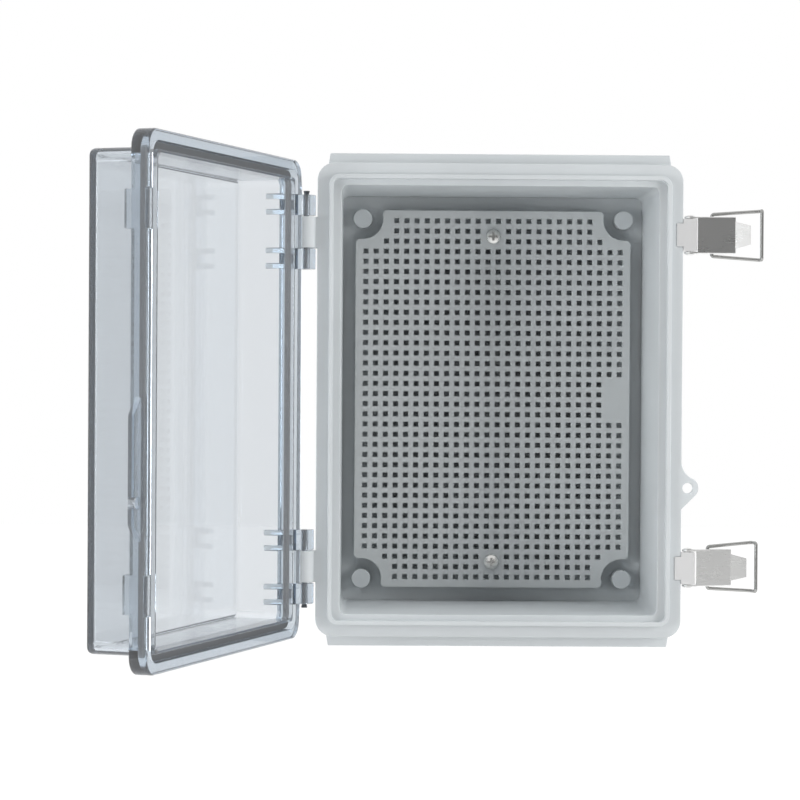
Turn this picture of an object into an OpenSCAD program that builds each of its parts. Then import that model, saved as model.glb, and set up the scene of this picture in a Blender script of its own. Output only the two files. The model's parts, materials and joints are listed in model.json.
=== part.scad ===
// Wall-mounted waterproof junction box with a hinged clear lid, a perforated
// mounting plate and two over-centre toggle latches.
// The origin is the centre of the back face. +Z is up and the front faces -Y.
// Shapes are drawn lying on the back face and are then stood upright.

/* [Case] */
// Width of the rim flange
flange_w = 170; // [150:1:240]
// Height of the rim flange
flange_h = 220; // [200:1:300]
// Corner radius of the rim flange
flange_r = 8; // [6:0.5:12]
// Depth of the case from the back face to the rim
case_depth = 80; // [60:1:120]
// Distance from the flange edge to the opening, left and right
rim_side = 11.2; // [10.5:0.1:14]
// Distance from the flange edge to the opening, top and bottom
rim_end = 10.4; // [10:0.1:14]
// Thickness of the side walls
case_wall = 3; // [2.5:0.1:5]
// Thickness of the floor
case_floor = 3; // [2.5:0.1:5]
// Radius of the rounded edge round the back face
back_edge_r = 2; // [1:0.5:3]
// Inside corner radius of the case
cavity_r = 3; // [2.5:0.5:5]
// Thickness of the flange plate
flange_t = 3.5; // [3:0.1:5]
// Depth of the skirt that hangs from the flange edge
skirt_depth = 10; // [8:0.5:12]
// Thickness of the skirt
skirt_t = 2.5; // [2:0.1:3.5]

/* [Seal] */
// Distance from the flange edge to the sealing tongue
tongue_inset = 5.5; // [5:0.1:6]
// Width of the sealing tongue
tongue_w = 2; // [1.5:0.1:2.4]
// Outer corner radius of the sealing tongue
tongue_r = 5; // [4:0.5:6]
// Height of the sealing tongue above the rim
tongue_h = 3; // [1.5:0.1:3.2]
// Room on each side of the tongue in the lid's groove
groove_room = 0.7; // [0.5:0.1:0.9]
// Depth of the lid's groove
groove_depth = 5; // [4.6:0.1:5.4]
// Gap between the tongue and the seal with the lid shut
seal_gap = 0.4; // [0.3:0.1:0.6]

/* [Rain lips] */
// Length of the top and bottom lips where they leave the flange
lip_l = 160.5; // [120:0.5:190]
// How far a lip stands out of the flange
lip_out = 5; // [3:0.5:8]
// Thickness of a lip
lip_t = 3; // [2:0.5:4]
// How far a lip's end slants in
lip_slant = 1; // [0.5:0.5:5]

/* [Mounting plate] */
// Room between the plate and the side walls
plate_side_room = 6.3; // [5:0.1:12]
// Room between the plate and the top and bottom walls
plate_end_room = 7.1; // [5:0.1:14]
// Thickness of the plate
plate_t = 2.5; // [2:0.1:4]
// Height of the screw bosses under the plate
plate_lift = 5.5; // [4:0.5:12]
// Distance between hole centres
hole_pitch = 5; // [4.5:0.1:8]
// Side of a square hole
hole_side = 2.5; // [1.5:0.1:3]
// Least distance from the plate's edge to a hole's centre
hole_margin = 4; // [3:0.1:6]
// Distance from the plate's ends to the fixing screws
screw_inset = 12.5; // [12:0.5:30]
// Room round a corner column in the plate's corner
column_room = 5.4; // [4:0.1:8]
// Size of the slanted corners beside a corner column
corner_slant = 2; // [1:0.1:3]
// Radius round a corner column without holes
column_blank = 15; // [14:0.5:18]
// Width of the blank pad at the right edge
pad_w = 12.5; // [8:0.5:15]
// Height of the blank pad
pad_h = 20; // [10:1:40]

/* [Screws and columns] */
// Diameter of a plate screw's thread
screw_d = 3; // [2.5:0.1:4]
// Length of a plate screw under its head
screw_l = 8; // [7:0.5:9]
// Diameter of a screw head
screw_head_d = 7; // [6:0.1:8]
// Height of a screw head
screw_head_h = 2.2; // [1.8:0.1:3]
// Outer diameter of a plate screw boss
boss_d = 9; // [7:0.5:12]
// Diameter of a corner column
column_d = 9.2; // [8:0.1:12]
// Distance from the side walls to a column's centre
column_inset = 9.7; // [8:0.1:12]
// Distance from the top and bottom walls to a column's centre
column_end_inset = 11.2; // [8:0.1:12]
// Height of a corner column above the back face
column_h = 12; // [10:0.5:16]
// Diameter of a wall-fixing hole
wall_hole_d = 3.5; // [3:0.1:5]
// Depth of a wall-fixing hole
wall_hole_depth = 9; // [6:0.5:9.5]

/* [Lid] */
// Overall depth of the lid
lid_depth = 30; // [24:1:60]
// Thickness of the lid's flange
lid_flange_t = 8; // [7.5:0.5:12]
// Distance from the flange edge to the raised part
dome_inset = 7; // [6:0.1:8]
// Wall thickness of the raised part
lid_wall = 2.5; // [2:0.1:3]
// Corner radius of the raised part
dome_r = 6; // [5:0.5:8]
// Radius of the rounded edge round the raised part
dome_edge_r = 1.5; // [1:0.1:2.2]
// Gap between the lid and the rim with the lid shut
lid_gap = 0.3; // [0.2:0.1:0.5]
// Angle at which the lid stands open
lid_open = 109.5; // [0:0.5:180]

/* [Hinges] */
// Distance from the flange's ends to the middle of a hinge
hinge_end = 32.5; // [28:0.5:50]
// Distance from the flange edge to the hinge axis
hinge_out = 5.1; // [5:0.1:8]
// Outer diameter of the knuckles
knuckle_d = 8.6; // [7:0.1:9]
// Length of the case's knuckle
case_knuckle_l = 14.5; // [10:0.5:20]
// Length of each of the lid's two knuckles
lid_knuckle_l = 9.6; // [6:0.1:12]
// End gap between knuckles
knuckle_gap = 0.4; // [0.3:0.1:0.6]
// Diameter of a hinge pin
pin_d = 2.2; // [2:0.1:3]
// Radial running clearance of the pins
pin_clearance = 0.05; // [0.03:0.01:0.08]
// Diameter of a hinge pin's head
pin_head_d = 3; // [2.8:0.1:4]
// Height of a hinge pin's head
pin_head_h = 1.6; // [1:0.1:3]
// Thickness of a gusset
gusset_t = 2.5; // [1.5:0.1:3]
// Height of a gusset above the mating face
gusset_h = 16; // [12:0.5:20]

/* [Finger lip and padlock] */
// Height of the finger lip's centre
grip_y = -27; // [-60:1:40]
// Straight length of the finger lip
grip_l = 44; // [36:1:70]
// Length of each tapered end of the finger lip
grip_taper = 7; // [4:0.5:12]
// How far the finger lip stands out of the flange
grip_out = 6.2; // [5.6:0.1:9]
// Distance from the mating face to the finger lip
grip_rise = 2.7; // [2:0.1:4]
// Thickness of the finger lip
grip_t = 3; // [2:0.1:4]
// Height of the padlock hole
padlock_y = -40.2; // [-45:0.1:-30]
// Distance from the flange edge to the padlock hole's centre
padlock_out = 2.9; // [2.6:0.1:3]
// Diameter of the padlock hole
padlock_d = 4.8; // [4:0.1:5]
// Radius of the ear round the padlock hole
ear_r = 5; // [4.4:0.1:6]
// Thickness of the padlock ear
ear_t = 3; // [2:0.5:5]
// Height of the ear's upper fillet above the padlock hole
ear_foot = 12.3; // [9:0.1:16]

/* [Latches] */
// Distance from the flange's ends to the middle of a latch
latch_end = 32.5; // [28:0.5:50]
// Distance from the flange edge to the lever pivot
pivot_out = 3.4; // [3.2:0.1:4]
// Distance of the lever pivot behind the rim
pivot_back = 3; // [2.5:0.1:3.5]
// Width of a lever
lever_w = 17.2; // [14:0.1:18]
// Length of a lever from its pivot to its tip
lever_l = 28.5; // [26:0.5:30]
// Length of the straight channel of a lever
lever_channel_l = 21; // [19:0.5:22]
// Width of a lever's finger tab where it leaves the channel
lever_tab_w = 12.6; // [11:0.1:13]
// Width of a lever's finger tab at its tip
lever_tip_w = 8.8; // [7:0.1:10]
// Thickness of the latch sheet metal
sheet_t = 0.8; // [0.6:0.1:1]
// Depth of the lever's face in front of its pivot
lever_face = 3; // [2.9:0.1:3.4]
// Distance from the lever pivot to the bail pivot
bail_pivot = 10.2; // [9.5:0.1:11]
// Diameter of the bail wire
wire_d = 1.6; // [1.5:0.1:2.2]
// Spread of the bail's legs, measured between their centres
bail_w = 22.7; // [22.4:0.1:26]
// How far the bail hooks over the lid
bail_hook = 5; // [4.5:0.1:5.2]
// Diameter of a lever's pivot pin
rivet_d = 3; // [2.4:0.1:3.2]
// Diameter of a pivot pin's head
rivet_head_d = 4.4; // [4:0.1:5]
// Height of a pivot pin's head
rivet_head_h = 0.7; // [0.5:0.1:0.8]
// Height of the bracket's front tab
tab_w = 10.7; // [8:0.1:12]
// How far the bracket's tabs reach over the flange
tab_reach = 3; // [2.6:0.1:4]
// Side gap between bracket, lever, bail and pin heads
latch_gap = 0.35; // [0.3:0.05:0.5]
// Resting angle of the upper latch
upper_turn = 0; // [0:1:30]
// Resting angle of the lower latch
lower_turn = 18; // [0:1:30]

/* [Hidden] */
$fn = 48;
// Overlap that keeps cuts and joins clean
eps = 0.01;
case_grey = [0.83, 0.85, 0.87];
plate_grey = [0.62, 0.64, 0.63];
clear_tint = [0.80, 0.86, 0.92, 0.35];
seal_grey = [0.36, 0.37, 0.38];
steel = [0.78, 0.79, 0.80];
dark_steel = [0.35, 0.36, 0.38];

cavity_w = flange_w - 2 * rim_side;
cavity_h = flange_h - 2 * rim_end;
case_w = cavity_w + 2 * case_wall;
case_h = cavity_h + 2 * case_wall;
case_r = cavity_r + case_wall;
edge_x = flange_w / 2;
edge_y = flange_h / 2;
hinge_y = edge_y - hinge_end;
latch_y = edge_y - latch_end;
plate_w = cavity_w - 2 * plate_side_room;
plate_h = cavity_h - 2 * plate_end_room;
screw_y = plate_h / 2 - screw_inset;
plate_back = case_floor + plate_lift;
plate_front = plate_back + plate_t;
column_x = cavity_w / 2 - column_inset;
column_y = cavity_h / 2 - column_end_inset;

mate_z = case_depth + lid_gap;
lid_front = mate_z + lid_depth;
lid_step = mate_z + lid_flange_t;
dome_w = flange_w - 2 * dome_inset;
dome_h = flange_h - 2 * dome_inset;
groove_w = tongue_w + 2 * groove_room;
groove_inset = tongue_inset - groove_room;
seal_bottom = case_depth + tongue_h + seal_gap;
seal_side = 0.1;

hinge_x = -edge_x - hinge_out;
knuckle_r = knuckle_d / 2;
pin_bore_r = pin_d / 2 + pin_clearance;
hinge_half = case_knuckle_l / 2 + knuckle_gap + lid_knuckle_l;
pin_end_gap = 0.3;
hollow_edge_r = 1.2;
screw_end = 0.5;
screw_room = 0.4;
seat_gap = 0.1;
notch_room = 0.6;
notch_h = 1.2;
tip_bend = 28;
// A bend is this much thicker than the runs that end inside it
bend_skin = 0.02;
bend_lap = 0.2;
// The slanted ends of a column's cut-out start this far inside its round part
cut_lap = 0.4;

pivot_x = edge_x + pivot_out;
pivot_z = case_depth - pivot_back;
cheek_r = 2.6;
cheek_in = lever_w / 2 - sheet_t;
face_start = cheek_r + sheet_t;
ear_half = cheek_in - latch_gap;
wire_r = wire_d / 2;
wire_bore_r = wire_r + pin_clearance;
leg_in = lever_w / 2 + latch_gap + wire_r;
// The pivot's bend starts outside the lever's cheek
wire_bend = latch_gap + wire_r;
// The hook's underside clears the front of the lid's flange
hook_z = lid_step + latch_gap + wire_r;
bail_l = hook_z - pivot_z + bail_pivot;
catch_l = 16;
catch_h = 4;
catch_w = pivot_out + edge_x - bail_hook - wire_r - latch_gap - dome_w / 2;
tab_recess = 0.5;

// Stands a shape drawn on its back upright against the wall
module upright() {
    rotate([90, 0, 0]) children();
}

// A rectangle with round corners
module round_rect(w, h, r) {
    square([w - 2 * r, h], center = true);
    square([w, h - 2 * r], center = true);
    for (sx = [-1, 1], sy = [-1, 1])
        translate([sx * (w / 2 - r), sy * (h / 2 - r)]) circle(r);
}

// A plate with round corners between two heights
module round_plate(w, h, r, z0, z1) {
    translate([0, 0, z0]) linear_extrude(z1 - z0) round_rect(w, h, r);
}

// A frame that follows the flange at a distance from its edge
module frame_ring(inset, width, r, z0, z1) {
    outer_w = flange_w - 2 * inset;
    outer_h = flange_h - 2 * inset;
    difference() {
        round_plate(outer_w, outer_h, r, z0, z1);
        round_plate(outer_w - 2 * width, outer_h - 2 * width, r - width, z0 - eps, z1 + eps);
    }
}

// A side view that stands on the x axis, with its two upper corners round
module arch_rect(w, h, r) {
    translate([-w / 2, 0]) square([w, h - r]);
    translate([-w / 2 + r, 0]) square([w - 2 * r, h]);
    for (s = [-1, 1]) translate([s * (w / 2 - r), h - r]) circle(r);
}

// A block with round corners and a rounded edge round its top face
module soft_block(w, h, r, edge, z0, z1) {
    intersection() {
        round_plate(w, h, r, z0, z1);
        translate([0, 0, z0]) side_profile(-h, h) arch_rect(w, z1 - z0, edge);
        translate([0, 0, z0])
            rotate(90) side_profile(-w, w) arch_rect(h, z1 - z0, edge);
    }
}

// Extrudes a side profile, drawn as x and height, from y0 to y1
module side_profile(y0, y1) {
    translate([0, y1, 0]) rotate([90, 0, 0]) linear_extrude(y1 - y0) children();
}

// A round bar along the y direction
module bar_y(r, y0, y1) {
    translate([0, y0, 0]) rotate([-90, 0, 0]) cylinder(h = y1 - y0, r = r);
}

// The direction from point a to point b
function heading(a, b) = (b - a) / norm(b - a);

// The turn of a path at its point i
function turn_at(p, i) = acos(heading(p[i - 1], p[i]) * heading(p[i], p[i + 1]));

// The length that the bend at point i takes from each of its runs
function bend_trim(p, i, bend) =
    i == 0 || i == len(p) - 1 ? 0 : bend * tan(turn_at(p, i) / 2);

// A round wire along a path, with tangent bends of one radius
module wire(p, r, bend) {
    last = len(p) - 1;
    for (i = [0 : last - 1]) {
        d = heading(p[i], p[i + 1]);
        start = bend_trim(p, i, bend) - (i > 0 ? bend_lap : 0);
        stop = bend_trim(p, i + 1, bend) - (i < last - 1 ? bend_lap : 0);
        a = p[i] + d * start;
        l = norm(p[i + 1] - p[i]) - start - stop;
        translate(a) rotate([0, acos(d[2]), atan2(d[1], d[0])]) cylinder(h = l, r = r);
    }
    for (i = [1 : last - 1]) {
        d = heading(p[i - 1], p[i]);
        side = heading(p[i - 1], p[i + 1]);
        n = heading([0, 0, 0], side - d * (side * d));
        c = p[i] - d * bend_trim(p, i, bend) + n * bend;
        axis = cross(-n, d);
        multmatrix([
            [-n[0], d[0], axis[0], c[0]],
            [-n[1], d[1], axis[1], c[1]],
            [-n[2], d[2], axis[2], c[2]]
        ])
            rotate_extrude(angle = turn_at(p, i)) translate([bend, 0]) circle(r + bend_skin);
    }
}

// Turns the lid and what it carries about the hinge axis
module lid_swing() {
    translate([hinge_x, 0, case_depth]) rotate([0, -lid_open, 0])
        translate([-hinge_x, 0, -case_depth]) children();
}

// The outline of the padlock ear, with its foot on the flange edge
module ear_outline() {
    fillet_r = (ear_foot * ear_foot + padlock_out * padlock_out - ear_r * ear_r)
        / (2 * (ear_r + padlock_out));
    fillet_end = atan2(-ear_foot, padlock_out - fillet_r);
    fillet_steps = 8;
    // The fillet stops just short of the ear's circle, so that the two cross cleanly
    fillet_part = 0.93;
    low = [padlock_out + ear_r * cos(45), -ear_r * sin(45)];
    arc = [for (i = [0 : fillet_steps])
        let (a = 180 + (fillet_end + 180) * fillet_part * i / fillet_steps)
        [fillet_r + fillet_r * cos(a), ear_foot + fillet_r * sin(a)]];
    translate([padlock_out, 0]) circle(ear_r);
    polygon(concat(
        [[-skirt_t / 2, low[1] - low[0]], [-skirt_t / 2, ear_foot]],
        arc,
        [[padlock_out, 0], low, [0, low[1] - low[0]]]
    ));
}

// A rain lip along the top edge of the flange
module rain_lip() {
    translate([0, edge_y, case_depth - skirt_depth])
        linear_extrude(lip_t)
            polygon([
                [-lip_l / 2, -skirt_t / 2], [lip_l / 2, -skirt_t / 2],
                [lip_l / 2 - lip_slant, lip_out], [-lip_l / 2 + lip_slant, lip_out]
            ]);
}

// The case's hinge knuckle, with a neck that runs down to the skirt
module case_knuckle() {
    half = case_knuckle_l / 2;
    translate([hinge_x, 0, case_depth]) bar_y(knuckle_r, -half, half);
    side_profile(-half, half)
        polygon([
            [hinge_x, case_depth - knuckle_r], [hinge_x, case_depth],
            [-edge_x + skirt_t / 2, case_depth],
            [-edge_x + skirt_t / 2, case_depth - skirt_depth + lip_t]
        ]);
}

module base_box() {
    color(case_grey) upright() difference() {
        union() {
            mirror([0, 0, 1])
                soft_block(case_w, case_h, case_r, back_edge_r, -case_depth, 0);
            round_plate(flange_w, flange_h, flange_r, case_depth - flange_t, case_depth);
            frame_ring(0, skirt_t, flange_r, case_depth - skirt_depth, case_depth);
            frame_ring(tongue_inset, tongue_w, tongue_r,
                case_depth - eps, case_depth + tongue_h);
            rain_lip();
            mirror([0, 1, 0]) rain_lip();
            for (s = [-1, 1]) translate([0, s * hinge_y, 0]) case_knuckle();
            translate([edge_x, padlock_y, case_depth - ear_t])
                linear_extrude(ear_t) ear_outline();
        }
        difference() {
            round_plate(cavity_w, cavity_h, cavity_r, case_floor, case_depth + tongue_h + eps);
            for (s = [-1, 1]) translate([0, s * screw_y, 0])
                cylinder(h = plate_back, d = boss_d);
            for (sx = [-1, 1], sy = [-1, 1])
                translate([sx * column_x, sy * column_y, 0])
                    cylinder(h = column_h, d = column_d);
        }
        for (s = [-1, 1]) {
            translate([0, s * screw_y, plate_front - screw_l - screw_end])
                cylinder(h = screw_l + plate_t, r = screw_d / 2 + pin_clearance);
            translate([hinge_x, s * hinge_y, case_depth])
                bar_y(pin_bore_r, -case_knuckle_l, case_knuckle_l);
            translate([edge_x - tab_reach, s * latch_y - tab_w / 2 - seat_gap,
                case_depth - tab_recess])
                cube([tab_reach + skirt_t, tab_w + 2 * seat_gap, tongue_h]);
        }
        for (sx = [-1, 1], sy = [-1, 1])
            translate([sx * column_x, sy * column_y, -eps])
                cylinder(h = wall_hole_depth + eps, d = wall_hole_d);
        translate([edge_x + padlock_out, padlock_y, 0])
            cylinder(h = case_depth + eps, d = padlock_d);
    }
}

// One of the lid's knuckles, with its neck and a pair of gussets
module lid_knuckle() {
    dome_x = -dome_w / 2 + lid_wall / 2;
    flange_x = -edge_x + dome_inset / 2;
    translate([hinge_x, 0, case_depth]) bar_y(knuckle_r, 0, lid_knuckle_l);
    side_profile(0, lid_knuckle_l)
        polygon([
            [hinge_x, mate_z], [flange_x, mate_z],
            [flange_x, lid_step], [-edge_x, lid_step],
            [hinge_x, case_depth + knuckle_r]
        ]);
    for (y = [0, lid_knuckle_l - gusset_t])
        side_profile(y, y + gusset_t)
            polygon([
                [hinge_x, mate_z], [flange_x, mate_z], [dome_x, lid_step],
                [dome_x, mate_z + gusset_h], [hinge_x, case_depth + knuckle_r]
            ]);
}

// The finger lip on the lid's free edge
module finger_lip() {
    half = grip_l / 2;
    translate([edge_x, grip_y, mate_z + grip_rise])
        linear_extrude(grip_t)
            polygon([
                [-groove_inset / 2, -half - grip_taper], [0, -half - grip_taper],
                [grip_out, -half], [grip_out, half],
                [0, half + grip_taper], [-groove_inset / 2, half + grip_taper]
            ]);
}

module clear_lid() {
    knuckle_y = case_knuckle_l / 2 + knuckle_gap;
    color(clear_tint) upright() lid_swing() difference() {
        union() {
            round_plate(flange_w, flange_h, flange_r, mate_z, lid_step);
            soft_block(dome_w, dome_h, dome_r, dome_edge_r, mate_z + lid_gap, lid_front);
            finger_lip();
            for (s = [-1, 1]) {
                translate([dome_w / 2 - lid_wall / 2, s * latch_y - catch_l / 2, lid_step - eps])
                    cube([catch_w + lid_wall / 2, catch_l, catch_h + eps]);
                for (t = [-1, 1])
                    translate([0, s * hinge_y, 0]) mirror([0, t < 0 ? 1 : 0, 0])
                        translate([0, knuckle_y, 0]) lid_knuckle();
            }
        }
        soft_block(dome_w - 2 * lid_wall, dome_h - 2 * lid_wall, dome_r - lid_wall,
            hollow_edge_r, mate_z - lid_gap, lid_front - lid_wall);
        frame_ring(groove_inset, groove_w, tongue_r + groove_room,
            mate_z - eps, mate_z + groove_depth);
        for (s = [-1, 1]) {
            translate([hinge_x, s * hinge_y, case_depth])
                bar_y(pin_bore_r, -hinge_half - eps, hinge_half + eps);
            translate([edge_x - tab_reach - notch_room, s * latch_y - catch_l / 2,
                mate_z - eps])
                cube([tab_reach + 2 * notch_room, catch_l, notch_h + eps]);
        }
        translate([edge_x + padlock_out, padlock_y, mate_z])
            cylinder(h = lid_flange_t, d = padlock_d);
    }
}

module lid_gasket() {
    color(seal_grey) upright() lid_swing()
        frame_ring(groove_inset + seal_side, groove_w - 2 * seal_side,
            tongue_r + groove_room - seal_side, seal_bottom, mate_z + groove_depth);
}

// A hinge pin with a flared head at its upper end
module hinge_pin() {
    translate([hinge_x, 0, case_depth]) {
        bar_y(pin_d / 2, -hinge_half, hinge_half + pin_end_gap + eps);
        translate([0, hinge_half + pin_end_gap, 0]) rotate([-90, 0, 0])
            cylinder(h = pin_head_h, d1 = pin_d, d2 = pin_head_d);
    }
}

module upper_hinge_pin() {
    color(dark_steel) upright() translate([0, hinge_y, 0]) hinge_pin();
}

module lower_hinge_pin() {
    color(dark_steel) upright() translate([0, -hinge_y, 0]) mirror([0, 1, 0]) hinge_pin();
}

// True where the plate has a hole
function has_hole(x, y) =
    norm([abs(x) - column_x, abs(y) - column_y]) > column_blank
    && norm([x, abs(y) - screw_y]) > hole_pitch
    && !(x > plate_w / 2 - pad_w && abs(y) < pad_h / 2);

// The cut-out round a corner column, with slanted ends towards the plate's edges
module column_cut() {
    r = column_d / 2 + column_room;
    over_x = plate_w / 2 - column_x;
    over_y = plate_h / 2 - column_y;
    side_x = over_x + corner_slant;
    side_y = over_y + corner_slant;
    inner_r = r - cut_lap;
    low_x = over_x - corner_slant;
    low_y = over_y - corner_slant;
    circle(r);
    polygon([
        [0, side_y], [-sqrt(r * r - over_y * over_y) - corner_slant, over_y + eps],
        [-sqrt(inner_r * inner_r - low_y * low_y), low_y], [0, 0],
        [low_x, -sqrt(inner_r * inner_r - low_x * low_x)],
        [over_x + eps, -sqrt(r * r - over_x * over_x) - corner_slant], [side_x, 0]
    ]);
}

// A strip of the plate from y0 to y1 with one row of holes
module plate_row(y, y0, y1) {
    columns = floor((plate_w - 2 * hole_margin) / hole_pitch) + 1;
    difference() {
        translate([-plate_w / 2, y0]) square([plate_w, y1 - y0]);
        for (i = [0 : columns - 1]) {
            x = (i - (columns - 1) / 2) * hole_pitch;
            if (has_hole(x, y)) translate([x, y]) square(hole_side, center = true);
        }
        for (sx = [-1, 1], sy = [-1, 1])
            translate([sx * column_x, sy * column_y]) scale([sx, sy]) column_cut();
        for (s = [-1, 1]) translate([0, s * screw_y]) circle(screw_d / 2 + screw_room);
    }
}

module plate_outline() {
    rows = floor((plate_h - 2 * hole_margin) / hole_pitch) + 1;
    for (j = [0 : rows - 1]) {
        y = (j - (rows - 1) / 2) * hole_pitch;
        plate_row(y, j == 0 ? -plate_h / 2 : y - hole_pitch / 2,
            j == rows - 1 ? plate_h / 2 : y + hole_pitch / 2);
    }
}

module mounting_plate() {
    color(plate_grey) upright()
        translate([0, 0, plate_back]) linear_extrude(plate_t) plate_outline();
}

// A pan-head screw with a cross recess, standing on the plate
module plate_screw() {
    slot_l = screw_head_d * 0.6;
    slot_w = screw_head_d * 0.15;
    translate([0, 0, plate_front]) {
        difference() {
            intersection() {
                cylinder(h = screw_head_h, d = screw_head_d);
                translate([0, 0, screw_head_h - screw_head_d]) sphere(screw_head_d);
            }
            for (a = [0, 90]) rotate(a)
                translate([-slot_l / 2, -slot_w / 2, screw_head_h / 2])
                    cube([slot_l, slot_w, screw_head_h]);
        }
        translate([0, 0, -screw_l]) cylinder(h = screw_l + eps, d = screw_d);
    }
}

module upper_plate_screw() {
    color(steel) upright() translate([0, screw_y, 0]) plate_screw();
}

module lower_plate_screw() {
    color(steel) upright() translate([0, -screw_y, 0]) plate_screw();
}

// The sheet-metal clip over the flange, with two ears for the lever pivot
module latch_bracket() {
    front_z = case_depth - tab_recess;
    back_z = case_depth - skirt_depth;
    ear_end_r = cheek_r - eps;
    cover_l = pivot_out + face_start - latch_gap;
    difference() {
        union() {
            translate([edge_x - tab_reach, -tab_w / 2, front_z])
                cube([tab_reach + sheet_t, tab_w, sheet_t]);
            translate([edge_x, -ear_half, front_z]) cube([cover_l, 2 * ear_half, sheet_t]);
            translate([edge_x, -ear_half, back_z - sheet_t])
                cube([sheet_t, 2 * ear_half, front_z - back_z + 2 * sheet_t]);
            translate([edge_x - skirt_t, -ear_half, back_z - sheet_t])
                cube([skirt_t + sheet_t, 2 * ear_half, sheet_t]);
            for (y = [-ear_half, ear_half - sheet_t]) side_profile(y, y + sheet_t) {
                translate([pivot_x, pivot_z]) circle(ear_end_r);
                translate([edge_x, pivot_z - ear_end_r])
                    square([pivot_out, 2 * ear_end_r]);
                translate([edge_x, pivot_z])
                    square([cover_l, front_z + sheet_t - pivot_z]);
            }
        }
        translate([pivot_x, 0, pivot_z])
            bar_y(rivet_d / 2 + pin_clearance, -lever_w, lever_w);
    }
}

// The lever's channel and its tapered finger tab, with the pivot at the origin
module latch_lever() {
    under = lever_face - sheet_t;
    difference() {
        union() {
            for (y = [-lever_w / 2, cheek_in]) side_profile(y, y + sheet_t) {
                circle(cheek_r);
                polygon([
                    [0, -cheek_r], [bail_pivot + cheek_r, -cheek_r],
                    [lever_channel_l - sheet_t, under - sheet_t],
                    [lever_channel_l - sheet_t, lever_face],
                    [face_start, lever_face], [0, cheek_r]
                ]);
            }
            translate([face_start, -lever_w / 2, under])
                cube([lever_channel_l - face_start, lever_w, sheet_t]);
            translate([lever_channel_l - eps, 0, under]) rotate([0, -tip_bend, 0])
                linear_extrude(sheet_t)
                    polygon([
                        [0, -lever_tab_w / 2], [lever_l - lever_channel_l, -lever_tip_w / 2],
                        [lever_l - lever_channel_l, lever_tip_w / 2], [0, lever_tab_w / 2]
                    ]);
        }
        bar_y(rivet_d / 2 + pin_clearance, -lever_w, lever_w);
        translate([bail_pivot, 0, 0]) bar_y(wire_bore_r, -lever_w, lever_w);
    }
}

// The wire bail, with its pivot at the origin
module latch_bail() {
    half = bail_w / 2;
    side = [
        [0, cheek_in - sheet_t, 0], [0, leg_in, 0],
        [bail_l, half, 0], [bail_l, half, bail_hook]
    ];
    other_side = [for (i = [len(side) - 1 : -1 : 0]) [side[i][0], -side[i][1], side[i][2]]];
    wire(concat(side, other_side), wire_r, wire_bend);
}

// The lever's pivot pin, riveted over at both ends
module latch_pin() {
    head_y = lever_w / 2 + latch_gap / 2;
    bar_y(rivet_d / 2, -head_y - eps, head_y + eps);
    for (s = [-1, 1]) rotate([s * -90, 0, 0]) translate([0, 0, head_y])
        intersection() {
            cylinder(h = rivet_head_h, d = rivet_head_d);
            translate([0, 0, rivet_head_h - rivet_head_d]) sphere(rivet_head_d);
        }
}

// Places a piece at a latch's lever pivot, turned about it
module at_pivot(y, turn) {
    translate([pivot_x, y, pivot_z]) rotate([0, turn, 0]) children();
}

module upper_latch_bracket() {
    color(steel) upright() translate([0, latch_y, 0]) latch_bracket();
}

module upper_latch_lever() {
    color(steel) upright() at_pivot(latch_y, upper_turn) latch_lever();
}

module upper_latch_bail() {
    color(steel) upright() at_pivot(latch_y, upper_turn)
        translate([bail_pivot, 0, 0]) latch_bail();
}

module upper_latch_pin() {
    color(steel) upright() at_pivot(latch_y, 0) latch_pin();
}

module lower_latch_bracket() {
    color(steel) upright() translate([0, -latch_y, 0]) latch_bracket();
}

module lower_latch_lever() {
    color(steel) upright() at_pivot(-latch_y, lower_turn) latch_lever();
}

module lower_latch_bail() {
    color(steel) upright() at_pivot(-latch_y, lower_turn)
        translate([bail_pivot, 0, 0]) latch_bail();
}

module lower_latch_pin() {
    color(steel) upright() at_pivot(-latch_y, 0) latch_pin();
}

base_box();
clear_lid();
lid_gasket();
upper_hinge_pin();
lower_hinge_pin();
mounting_plate();
upper_plate_screw();
lower_plate_screw();
upper_latch_bracket();
upper_latch_lever();
upper_latch_bail();
upper_latch_pin();
lower_latch_bracket();
lower_latch_lever();
lower_latch_bail();
lower_latch_pin();
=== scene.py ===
"""Dresses the waterproof junction box and sets it on a studio stage.

Each node of the frame is replaced by a copy with softened edges and a finish of its own.
"""

import json
import math

import bmesh
import bpy
from bpy.props import FloatProperty, FloatVectorProperty, PointerProperty
from mathutils import Matrix, Vector


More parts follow.
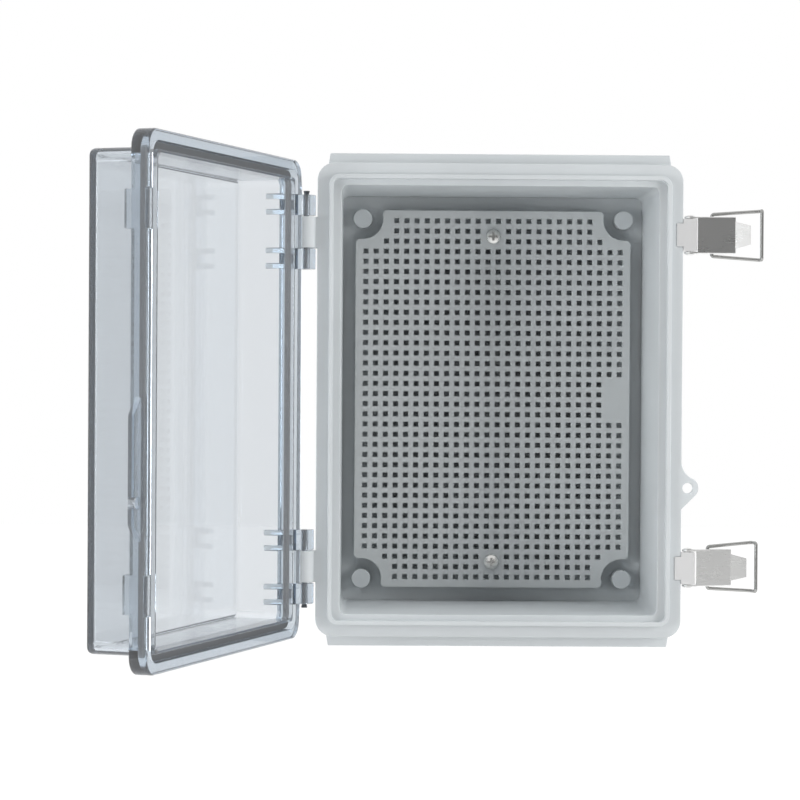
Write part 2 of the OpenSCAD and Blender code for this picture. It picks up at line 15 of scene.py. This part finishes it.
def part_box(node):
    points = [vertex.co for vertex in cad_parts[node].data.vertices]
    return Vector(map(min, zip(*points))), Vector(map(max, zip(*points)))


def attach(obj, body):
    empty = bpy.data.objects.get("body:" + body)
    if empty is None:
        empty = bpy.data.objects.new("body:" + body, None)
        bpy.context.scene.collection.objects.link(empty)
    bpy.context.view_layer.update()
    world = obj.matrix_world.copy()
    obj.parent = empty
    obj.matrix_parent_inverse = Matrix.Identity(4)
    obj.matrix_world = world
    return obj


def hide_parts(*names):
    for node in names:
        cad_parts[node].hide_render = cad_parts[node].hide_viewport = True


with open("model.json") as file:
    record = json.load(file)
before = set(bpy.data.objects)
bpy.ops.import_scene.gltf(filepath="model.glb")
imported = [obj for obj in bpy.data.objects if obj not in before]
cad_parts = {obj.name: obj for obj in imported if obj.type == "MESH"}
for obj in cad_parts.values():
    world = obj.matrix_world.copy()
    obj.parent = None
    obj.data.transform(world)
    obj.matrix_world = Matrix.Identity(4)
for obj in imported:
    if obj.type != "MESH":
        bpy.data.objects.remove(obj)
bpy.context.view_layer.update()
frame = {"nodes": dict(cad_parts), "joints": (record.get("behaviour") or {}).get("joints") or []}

bl_info = {
    "name": "Waterproof junction box",
    "version": (1, 0, 0),
    "blender": (4, 5, 0),
    "location": "View3D > Sidebar > Junction box",
    "description": "Dresses the junction box and sets it on a plain studio stage",
    "category": "Object",
}

SIDES = ("upper", "lower")
Y, Z = 1, 2  # places of the axes in a vector
QUARTER_TURN = math.pi / 2
WHITE = (1.0, 1.0, 1.0, 1.0)

# Lengths in metres.
WELD = 1e-6        # corners closer than this are one
NEAR = 1e-5        # points closer than this are in one place
LEVER_RUN = 0.015  # of a latch's edges, only those along a lever or right across run further

# Turns from one face to the next.
FLAT = math.radians(0.5)   # faces that turn less are joined
SHARP = math.radians(28)   # edges that turn more are rounded
SMOOTH = math.radians(40)  # edges that turn more are shaded as sharp
FOLD = math.radians(25)    # the same for the bent sheet of the latches

NARROW, WIDE = 2, 4  # segments of a rounding

# The lid's flange with the lid shut, in metres.
FLANGE_HALF_W = 0.085
FLANGE_HALF_H = 0.110
FLANGE_CORNER = 0.008
FLANGE_FACES = (-0.0803, -0.0883)

# Finishes.
NOISE_LOW, NOISE_HIGH = 0.3, 0.7  # where most values of a noise texture lie
MOULDED_SWING = (-0.05, 0.06)     # what roughness gains from the low to the high end of the noise
METAL_SWING = (0.08, -0.04)
CLEAR_ROUGHNESS = (0.015, 0.05)
PLATE_DULLER = 0.08               # what the plate's roughness has more than the case's
GRAIN_HEIGHT = 0.00008            # metres
STREAK_HEIGHT = 0.00005
FLOW_HEIGHT = 0.00005
EVEN = 900.0                      # streak scale of a finish with no direction
PAINT_GRAIN = 300.0

# The stage, in metres.
AIM = Vector((0.0, 0.0, 0.0))
FAR = 50.0
FLOOR_SIDE = 12.0
FLOOR_LIFT = 0.3  # light that the floor adds where it is seen


def colour_prop(name, description, default):
    """A colour that a user may change."""
    return FloatVectorProperty(name=name, description=description, subtype="COLOR", size=3,
                               min=0.0, max=1.0, default=default)


def length_prop(name, description, default):
    """A length in metres that a user may change."""
    return FloatProperty(name=name, description=description, unit="LENGTH", min=0.0,
                         precision=5, default=default)


def share_prop(name, description, default):
    """A share from 0 to 1 that a user may change."""
    return FloatProperty(name=name, description=description, subtype="FACTOR", min=0.0, max=1.0,
                         default=default)


def amount_prop(name, description, default):
    """An amount from 0 up that a user may change."""
    return FloatProperty(name=name, description=description, min=0.0, default=default)


class MouldedLook(bpy.types.PropertyGroup):
    """Opaque plastic of the case and the mounting plate."""
    case_colour: colour_prop("Case", "Light grey of the case", (0.62, 0.65, 0.665))
    plate_colour: colour_prop("Plate", "Grey of the mounting plate", (0.61, 0.635, 0.64))
    case_edge: length_prop("Case edges", "Rounding of the case's edges", 0.0004)
    tongue_edge: length_prop("Sealing tongue", "Rounding of the sealing tongue's top", 0.0008)
    plate_edge: length_prop("Plate corners", "Rounding of the plate's corners and holes", 0.0003)
    roughness: share_prop("Roughness", "Middle roughness of the moulded faces", 0.42)


class ClearLook(bpy.types.PropertyGroup):
    """Clear plastic of the lid and the seal in it."""
    face: colour_prop("Face", "Share of light that one face lets through", (0.91, 0.915, 0.922))
    tint: colour_prop("Tint", "Colour that thick clear plastic takes", (0.58, 0.66, 0.73))
    density: amount_prop("Density", "How fast the tint deepens, per metre", 160.0)
    edge: length_prop("Lid edges", "Rounding of the lid's edges", 0.0004)
    rim_edge: length_prop("Lid rim", "Rounding of the outer edges of the lid's flange", 0.0009)
    seal_colour: colour_prop("Seal", "Grey of the rubber seal", (0.10, 0.105, 0.11))
    seal_edge: length_prop("Seal edges", "Rounding of the seal's edges", 0.0003)


class MetalLook(bpy.types.PropertyGroup):
    """Steel of the latches, the screws and the pins."""
    sheet_colour: colour_prop("Sheet", "Stainless sheet of the latches", (0.88, 0.88, 0.87))
    satin_colour: colour_prop("Brackets", "Satin sheet of the latch brackets", (0.94, 0.94, 0.94))
    wire_colour: colour_prop("Wire", "Stainless wire of the bails", (0.42, 0.42, 0.41))
    screw_colour: colour_prop("Screws", "Plated steel of the screws", (0.72, 0.72, 0.70))
    pin_colour: colour_prop("Pins", "Dark steel of the hinge pins", (0.16, 0.17, 0.18))
    sheet_edge: length_prop("Sheet edges", "Rounding of sheet-metal edges", 0.00016)
    bend: length_prop("Lever bends", "Outer radius of the bends along a lever's sides", 0.0004)
    screw_edge: length_prop("Screw edges", "Rounding of the edges of screws and pins", 0.00012)


class StageLook(bpy.types.PropertyGroup):
    """Camera, lamps, floor and cards."""
    camera_place: FloatVectorProperty(
        name="Camera", description="Place of the camera", unit="LENGTH", size=3,
        default=(-0.06046, -1.25118, 0.01064))
    camera_turn: FloatVectorProperty(
        name="Aim", description="Turn of the camera", subtype="EULER", size=3,
        default=[math.radians(a) for a in (89.4792, -0.3602, -0.6943)])
    lens: FloatProperty(name="Lens", description="Focal length in millimetres", min=1.0,
                        default=113.523)
    floor_z: FloatProperty(name="Floor", description="Height of the floor", unit="LENGTH",
                           default=-0.42)
    key: amount_prop("Key", "Power of the right lamp in watts", 3.8)
    fill: amount_prop("Fill", "Power of the left lamp in watts", 11.0)
    top: amount_prop("Top", "Power of the upper lamp in watts", 7.5)
    ambient: amount_prop("Ambient", "Strength of the light from all round", 0.94)
    card: length_prop("Front card", "Width of the dark card behind the camera", 5.2)
    metal_card: length_prop("Metal card", "Width of the dark card that the latches mirror", 1.3)
    flag: length_prop("Flags", "Width of the flags that draw the clear plastic's edges", 3.0)


class JunctionBoxLook(bpy.types.PropertyGroup):
    """All settings of the junction box."""
    moulded: PointerProperty(type=MouldedLook)
    clear: PointerProperty(type=ClearLook)
    metal: PointerProperty(type=MetalLook)
    stage: PointerProperty(type=StageLook)


def look():
    """The settings that the operators read."""
    return bpy.context.scene.junction_box


def new_group(name, inputs, outputs):
    """A shader node group with value sockets, and its input and output nodes."""
    tree = bpy.data.node_groups.new(name, "ShaderNodeTree")
    for label, default in inputs:
        socket = tree.interface.new_socket(label, in_out="INPUT", socket_type="NodeSocketFloat")
        socket.default_value = default
    for label in outputs:
        tree.interface.new_socket(label, in_out="OUTPUT", socket_type="NodeSocketFloat")
    return tree, tree.nodes.new("NodeGroupInput"), tree.nodes.new("NodeGroupOutput")


def calculated(tree, operation, first, second):
    """The value of a Math node that takes two sockets, or a socket and a number."""
    node = tree.nodes.new("ShaderNodeMath")
    node.operation = operation
    for socket, source in zip(node.inputs, (first, second)):
        if isinstance(source, float):
            socket.default_value = source
        else:
            tree.links.new(source, socket)
    return node.outputs["Value"]


def noise(tree, vector, detail):
    """A noise texture over a vector."""
    node = tree.nodes.new("ShaderNodeTexNoise")
    node.inputs["Detail"].default_value = detail
    tree.links.new(vector, node.inputs["Vector"])
    return node


def grain_group():
    """Fine spark-eroded grain with slow mottling, for moulded faces."""
    name = "Moulded grain"
    if name in bpy.data.node_groups:
        return bpy.data.node_groups[name]
    tree, into, out = new_group(name, [("Grain scale", 1800.0), ("Mottle scale", 24.0)],
                                ["Height", "Mottle"])
    place = tree.nodes.new("ShaderNodeTexCoord").outputs["Object"]
    for detail, scale, result in ((3.0, "Grain scale", "Height"), (5.0, "Mottle scale", "Mottle")):
        texture = noise(tree, place, detail)
        tree.links.new(into.outputs[scale], texture.inputs["Scale"])
        tree.links.new(texture.outputs["Fac"], out.inputs[result])
    return tree


def streak_group():
    """Rolling streaks along the length of a sheet or wire, broken up by slow mottling."""
    name = "Rolled streaks"
    if name in bpy.data.node_groups:
        return bpy.data.node_groups[name]
    tree, into, out = new_group(name, [("Along", 40.0), ("Across", 2600.0)], ["Height", "Streak"])
    link = tree.links.new
    place = tree.nodes.new("ShaderNodeTexCoord").outputs["Object"]
    scale = tree.nodes.new("ShaderNodeCombineXYZ")
    for label, axis in (("Along", "X"), ("Along", "Y"), ("Across", "Z")):
        link(into.outputs[label], scale.inputs[axis])
    stretch = tree.nodes.new("ShaderNodeVectorMath")
    stretch.operation = "MULTIPLY"
    link(place, stretch.inputs[0])
    link(scale.outputs["Vector"], stretch.inputs[1])
    fine = noise(tree, stretch.outputs["Vector"], detail=4.0)
    fine.inputs["Scale"].default_value = 1.0
    slow = noise(tree, place, detail=3.0)
    slow.inputs["Scale"].default_value = 130.0
    streak = calculated(tree, "MULTIPLY", fine.outputs["Fac"], slow.outputs["Fac"])
    link(fine.outputs["Fac"], out.inputs["Height"])
    link(streak, out.inputs["Streak"])
    return tree


def spread(material, value, low, high):
    """Maps the usual range of a noise value to another range."""
    node = material.node_tree.nodes.new("ShaderNodeMapRange")
    for label, limit in (("From Min", NOISE_LOW), ("From Max", NOISE_HIGH),
                         ("To Min", low), ("To Max", high)):
        node.inputs[label].default_value = limit
    material.node_tree.links.new(value, node.inputs["Value"])
    return node.outputs["Result"]


def tinted(material, value, colour, swing):
    """Mixes a colour between a darker and a lighter shade of itself."""
    node = material.node_tree.nodes.new("ShaderNodeMix")
    node.data_type = "RGBA"
    shades = [tuple(c * s for c in colour) + (1.0,) for s in (1.0 - swing, 1.0 + swing)]
    node.inputs["A"].default_value, node.inputs["B"].default_value = shades
    material.node_tree.links.new(spread(material, value, 0.0, 1.0), node.inputs["Factor"])
    return node.outputs["Result"]


def start_material(name, group, values):
    """A material with a Principled shader and one effect group in it."""
    material = bpy.data.materials.new(name)
    material.use_nodes = True
    shader = material.node_tree.nodes["Principled BSDF"]
    effect = material.node_tree.nodes.new("ShaderNodeGroup")
    effect.node_tree = group
    for label, value in values.items():
        effect.inputs[label].default_value = value
    return material, shader, effect


def relief(material, shader, height, strength, distance):
    """Feeds a height into the shader's normal."""
    bump = material.node_tree.nodes.new("ShaderNodeBump")
    bump.inputs["Strength"].default_value = strength
    bump.inputs["Distance"].default_value = distance
    material.node_tree.links.new(height, bump.inputs["Height"])
    material.node_tree.links.new(bump.outputs["Normal"], shader.inputs["Normal"])


def moulded(name, colour, roughness, grain=1800.0, depth=0.12, swing=0.03):
    """Satin moulded plastic, rubber or paint."""
    material, shader, effect = start_material(name, grain_group(), {"Grain scale": grain})
    link = material.node_tree.links.new
    link(tinted(material, effect.outputs["Mottle"], colour, swing), shader.inputs["Base Color"])
    rough = spread(material, effect.outputs["Mottle"], *(roughness + gain for gain in MOULDED_SWING))
    link(rough, shader.inputs["Roughness"])
    relief(material, shader, effect.outputs["Height"], depth, GRAIN_HEIGHT)
    return material


def metal(name, colour, roughness, along=40.0, across=2600.0):
    """Rolled, drawn or plated steel, smoother where a streak is bright."""
    material, shader, effect = start_material(name, streak_group(), {"Along": along, "Across": across})
    link = material.node_tree.links.new
    shader.inputs["Metallic"].default_value = 1.0
    link(tinted(material, effect.outputs["Streak"], colour, swing=0.10), shader.inputs["Base Color"])
    rough = spread(material, effect.outputs["Streak"], *(roughness + gain for gain in METAL_SWING))
    link(rough, shader.inputs["Roughness"])
    relief(material, shader, effect.outputs["Height"], strength=0.05, distance=STREAK_HEIGHT)
    return material


def clear_plastic(settings):
    """Clear polycarbonate that darkens with thickness, with faint flow marks."""
    material, shader, effect = start_material("Clear plastic", grain_group(),
                                              {"Grain scale": 260.0, "Mottle scale": 16.0})
    tree = material.node_tree
    shader.inputs["Base Color"].default_value = tuple(settings.face) + (1.0,)
    shader.inputs["Transmission Weight"].default_value = 0.93
    shader.inputs["IOR"].default_value = 1.55
    rough = spread(material, effect.outputs["Mottle"], *CLEAR_ROUGHNESS)
    tree.links.new(rough, shader.inputs["Roughness"])
    relief(material, shader, effect.outputs["Height"], strength=0.02, distance=FLOW_HEIGHT)
    body = tree.nodes.new("ShaderNodeVolumeAbsorption")
    body.inputs["Color"].default_value = tuple(settings.tint) + (1.0,)
    body.inputs["Density"].default_value = settings.density
    tree.links.new(body.outputs["Volume"], tree.nodes["Material Output"].inputs["Volume"])
    return material


def copied(node):
    """A bmesh of a node's solid, with its triangles welded and its flat faces joined."""
    bm = bmesh.new()
    bm.from_mesh(frame["nodes"][node].data)
    bmesh.ops.remove_doubles(bm, verts=bm.verts, dist=WELD)
    bmesh.ops.dissolve_limit(bm, angle_limit=FLAT, verts=bm.verts, edges=bm.edges,
                             use_dissolve_boundaries=False, delimit=set())
    return bm


def run(e, axis):
    """How far an edge runs along an axis."""
    return abs(e.verts[0].co[axis] - e.verts[1].co[axis])


def soften(bm, edge, segments=NARROW, keep=None):
    """Rounds the sharp outer edges of a solid, except where they end at an earlier rounding."""
    sharp = [e for e in bm.edges if e.is_manifold and e.is_convex and e.calc_face_angle() > SHARP
             and (keep is None or keep(e))]
    others = set(bm.edges).difference(sharp)
    crowded = {v for e in others if e.calc_length() < edge for v in e.verts}
    free = [e for e in sharp if crowded.isdisjoint(e.verts)]
    bmesh.ops.bevel(bm, geom=free, offset=edge, offset_type="OFFSET", affect="EDGES",
                    segments=segments, profile=0.5, material=-1, clamp_overlap=False)


def settle(bm, node, body, material, smooth=SMOOTH):
    """Makes the piece that stands for a node and lets it ride on its body."""
    for e in bm.edges:
        e.smooth = not (e.is_manifold and e.calc_face_angle() > smooth)
    for f in bm.faces:
        f.smooth = True
    mesh = bpy.data.meshes.new(node + "_form")
    bm.to_mesh(mesh)
    bm.free()
    piece = bpy.data.objects.new(node + "_form", mesh)
    bpy.context.scene.collection.objects.link(piece)
    mesh.materials.append(material)
    flat = piece.modifiers.new("Flat faces", "WEIGHTED_NORMAL")
    flat.mode = "FACE_AREA"
    flat.weight = 100
    flat.keep_sharp = True
    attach(piece, body)
    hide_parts(node)
    return piece


def small_piece(node, body, material, edge):
    """Dresses a node whose edges all have one rounding."""
    bm = copied(node)
    soften(bm, edge)
    settle(bm, node, body, material)


class JBOX_OT_case(bpy.types.Operator):
    """Dress the case"""
    bl_idname = "jbox.case"
    bl_label = "Case"

    def execute(self, context):
        s = look().moulded
        bm = copied("base_box")
        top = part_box("base_box")[0].y + NEAR
        soften(bm, s.tongue_edge, WIDE, keep=lambda e: all(v.co.y < top for v in e.verts))
        soften(bm, s.case_edge)
        settle(bm, "base_box", "case",
               moulded("Housing plastic", s.case_colour, s.roughness))
        return {"FINISHED"}


class JBOX_OT_plate(bpy.types.Operator):
    """Dress the perforated mounting plate"""
    bl_idname = "jbox.plate"
    bl_label = "Mounting plate"

    def execute(self, context):
        s = look().moulded
        bm = copied("mounting_plate")
        soften(bm, s.plate_edge, keep=lambda e: run(e, Y) > s.plate_edge)
        settle(bm, "mounting_plate", "case",
               moulded("Plate plastic", s.plate_colour, s.roughness + PLATE_DULLER))
        return {"FINISHED"}


def shutting():
    """The turn that shuts the lid."""
    hinge = next(j for j in frame["joints"] if j["name"] == "lid_hinge")
    place = Matrix.Translation(hinge["pos_m"])
    return place @ Matrix.Rotation(math.radians(hinge["range_deg"][1]), 4, "Z") @ place.inverted()


def off_rim(p):
    """How far a point of the shut lid is from the outline of its flange."""
    x = abs(p.x) - FLANGE_HALF_W + FLANGE_CORNER
    z = abs(p.z) - FLANGE_HALF_H + FLANGE_CORNER
    return abs(math.hypot(max(x, 0.0), max(z, 0.0)) + min(max(x, z), 0.0) - FLANGE_CORNER)


def flange_rim(shut):
    """Tells whether an edge runs round the outside of the lid's flange."""
    def on_rim(e):
        a, b = (shut @ v.co for v in e.verts)
        return max(off_rim(a), off_rim(b)) < NEAR and any(
            max(abs(a.y - y), abs(b.y - y)) < NEAR for y in FLANGE_FACES)

    return on_rim


class JBOX_OT_lid(bpy.types.Operator):
    """Dress the clear lid and its seal"""
    bl_idname = "jbox.lid"
    bl_label = "Lid and seal"

    def execute(self, context):
        s = look().clear
        bm = copied("clear_lid")
        soften(bm, s.rim_edge, WIDE, keep=flange_rim(shutting()))
        soften(bm, s.edge)
        lid = settle(bm, "clear_lid", "lid", clear_plastic(s))
        lid.visible_shadow = False
        rubber = moulded("Seal rubber", s.seal_colour, roughness=0.62, grain=900.0, depth=0.2)
        small_piece("lid_gasket", "lid", rubber, s.seal_edge)
        return {"FINISHED"}


class JBOX_OT_fixings(bpy.types.Operator):
    """Dress the plate screws and the hinge pins"""
    bl_idname = "jbox.fixings"
    bl_label = "Screws and hinge pins"

    def execute(self, context):
        s = look().metal
        plated = metal("Plated steel", s.screw_colour, roughness=0.2, along=EVEN, across=EVEN)
        dark = metal("Dark steel", s.pin_colour, roughness=0.35, along=2600.0, across=60.0)
        for side in SIDES:
            small_piece(side + "_plate_screw", "case", plated, s.screw_edge)
            small_piece(side + "_hinge_pin", "case", dark, s.screw_edge)
        return {"FINISHED"}


def lever_bend(side):
    """Tells whether an edge is one of the bends along a lever's sides."""
    sides = [c.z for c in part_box(side + "_latch_lever")]

    def on_side(e):
        return e.calc_length() > LEVER_RUN and any(
            all(abs(v.co.z - z) < NEAR for v in e.verts) for z in sides)

    return on_side


class JBOX_OT_latches(bpy.types.Operator):
    """Dress the toggle latches"""
    bl_idname = "jbox.latches"
    bl_label = "Latches"

    def execute(self, context):
        s = look().metal
        sheet = metal("Stainless sheet", s.sheet_colour, roughness=0.2)
        satin = metal("Satin stainless", s.satin_colour, roughness=0.5)
        wire = metal("Stainless wire", s.wire_colour, roughness=0.18, along=EVEN, across=EVEN)
        for side in SIDES:
            for piece, body, finish in (("bracket", "case", satin), ("lever", side + "_lever", sheet),
                                        ("pin", "case", sheet)):
                bm = copied(side + "_latch_" + piece)
                if piece == "lever":
                    soften(bm, s.bend, WIDE, keep=lever_bend(side))
                soften(bm, s.sheet_edge, keep=lambda e: run(e, Z) < LEVER_RUN)
                settle(bm, side + "_latch_" + piece, body, finish, smooth=FOLD)
            bail = side + "_latch_bail"
            settle(copied(bail), bail, side + "_bail", wire)
        return {"FINISHED"}


def area_lamp(name, place, size, power):
    """A soft square lamp that points at the part and isn't mirrored in it."""
    data = bpy.data.lights.new(name, "AREA")
    data.size = size
    data.energy = power
    lamp = bpy.data.objects.new(name, data)
    lamp.location = place
    lamp.rotation_euler = (AIM - Vector(place)).to_track_quat("-Z", "Y").to_euler()
    lamp.visible_glossy = False
    bpy.context.scene.collection.objects.link(lamp)


def stage_sheet(name, side, place, material):
    """A flat square of the studio."""
    bm = bmesh.new()
    bmesh.ops.create_grid(bm, x_segments=1, y_segments=1, size=side / 2, matrix=place)
    mesh = bpy.data.meshes.new(name)
    bm.to_mesh(mesh)
    bm.free()
    sheet = bpy.data.objects.new(name, mesh)
    bpy.context.scene.collection.objects.link(sheet)
    mesh.materials.append(material)
    return sheet


def card(name, side, place, axis, grey, rays):
    """A square, turned up about an axis, that the camera doesn't see and only some rays meet."""
    turn = Matrix.Rotation(QUARTER_TURN, 4, axis)
    paint = moulded(name + " paint", (grey, grey, grey), roughness=0.9, grain=PAINT_GRAIN)
    sheet = stage_sheet(name, side, Matrix.Translation(place) @ turn, paint)
    sheet.visible_camera = sheet.visible_shadow = False
    sheet.visible_diffuse = "diffuse" in rays
    sheet.visible_glossy = "glossy" in rays
    sheet.visible_transmission = "transmission" in rays


def seen_rays(tree):
    """1 for rays of the camera, of reflections and through clear plastic, else 0."""
    path = tree.nodes.new("ShaderNodeLightPath")
    seen = path.outputs["Is Camera Ray"]
    for label in ("Is Glossy Ray", "Is Transmission Ray"):
        seen = calculated(tree, "MAXIMUM", seen, path.outputs[label])
    return seen


def floor_paint():
    """Pale matt floor, lifted to white where it is seen, with the shadow kept."""
    material = moulded("Floor paint", (0.80, 0.80, 0.80), roughness=0.8, grain=PAINT_GRAIN, swing=0.005)
    tree = material.node_tree
    shader = tree.nodes["Principled BSDF"]
    shader.inputs["Specular IOR Level"].default_value = 0.0
    shader.inputs["Emission Color"].default_value = WHITE
    lift = calculated(tree, "MULTIPLY", seen_rays(tree), FLOOR_LIFT)
    tree.links.new(lift, shader.inputs["Emission Strength"])
    return material


def white_world(ambient):
    """White to the camera and in reflections, and a soft light on the faces."""
    world = bpy.data.worlds.new("Studio")
    world.use_nodes = True
    tree = world.node_tree
    strength = tree.nodes.new("ShaderNodeMapRange")
    strength.inputs["To Min"].default_value = ambient
    strength.inputs["To Max"].default_value = 1.0
    tree.links.new(seen_rays(tree), strength.inputs["Value"])
    back = tree.nodes["Background"]
    back.inputs["Color"].default_value = WHITE
    tree.links.new(strength.outputs["Result"], back.inputs["Strength"])
    bpy.context.scene.world = world


class JBOX_OT_stage(bpy.types.Operator):
    """Set the camera, the lamps, the white surround, the floor and the cards"""
    bl_idname = "jbox.stage"
    bl_label = "Studio stage"

    def execute(self, context):
        s = look().stage
        scene = context.scene
        scene.view_settings.view_transform = "Standard"
        data = bpy.data.cameras.new("Camera")
        data.lens = s.lens
        data.clip_end = FAR
        camera = bpy.data.objects.new("Camera", data)
        camera.location = s.camera_place
        camera.rotation_euler = s.camera_turn
        scene.collection.objects.link(camera)
        scene.camera = camera
        white_world(s.ambient)
        area_lamp("Key", (0.75, -0.45, 0.1), size=0.4, power=s.key)
        area_lamp("Fill", (-1.5, -0.9, 0.0), size=0.7, power=s.fill)
        area_lamp("Top", (0.1, -0.55, 1.6), size=0.7, power=s.top)
        stage_sheet("Floor", FLOOR_SIDE, Matrix.Translation((0, 0, s.floor_z)), floor_paint())
        card("Front_card", s.card, (0.0, -2.4, 0.0), "X", grey=0.03, rays=("diffuse",))
        card("Metal_card", s.metal_card, (0.4, -2.3, 0.0), "X", grey=0.05, rays=("glossy",))
        card("Left_flag", s.flag, (-1.7, -1.2, 0.0), "Y", grey=0.12, rays=("transmission",))
        card("Right_flag", s.flag, (1.7, -1.2, 0.0), "Y", grey=0.75, rays=("glossy", "transmission"))
        return {"FINISHED"}


class JBOX_PT_panel(bpy.types.Panel):
    """Lists what dresses the junction box"""
    bl_label = "Junction box"
    bl_idname = "JBOX_PT_panel"
    bl_space_type = "VIEW_3D"
    bl_region_type = "UI"
    bl_category = "Junction box"

    def draw(self, context):
        for operator in OPERATORS:
            self.layout.operator(operator.bl_idname)


OPERATORS = (JBOX_OT_stage, JBOX_OT_case, JBOX_OT_plate, JBOX_OT_lid, JBOX_OT_fixings, JBOX_OT_latches)
CLASSES = (MouldedLook, ClearLook, MetalLook, StageLook, JunctionBoxLook) + OPERATORS + (JBOX_PT_panel,)


def register():
    for cls in CLASSES:
        bpy.utils.register_class(cls)
    bpy.types.Scene.junction_box = PointerProperty(type=JunctionBoxLook)


def unregister():
    del bpy.types.Scene.junction_box
    for cls in reversed(CLASSES):
        bpy.utils.unregister_class(cls)


def main():
    """Builds the scene."""
    register()
    for operator in OPERATORS:
        group, name = operator.bl_idname.split(".")
        getattr(getattr(bpy.ops, group), name)()


if __name__ == "__main__":
    main()
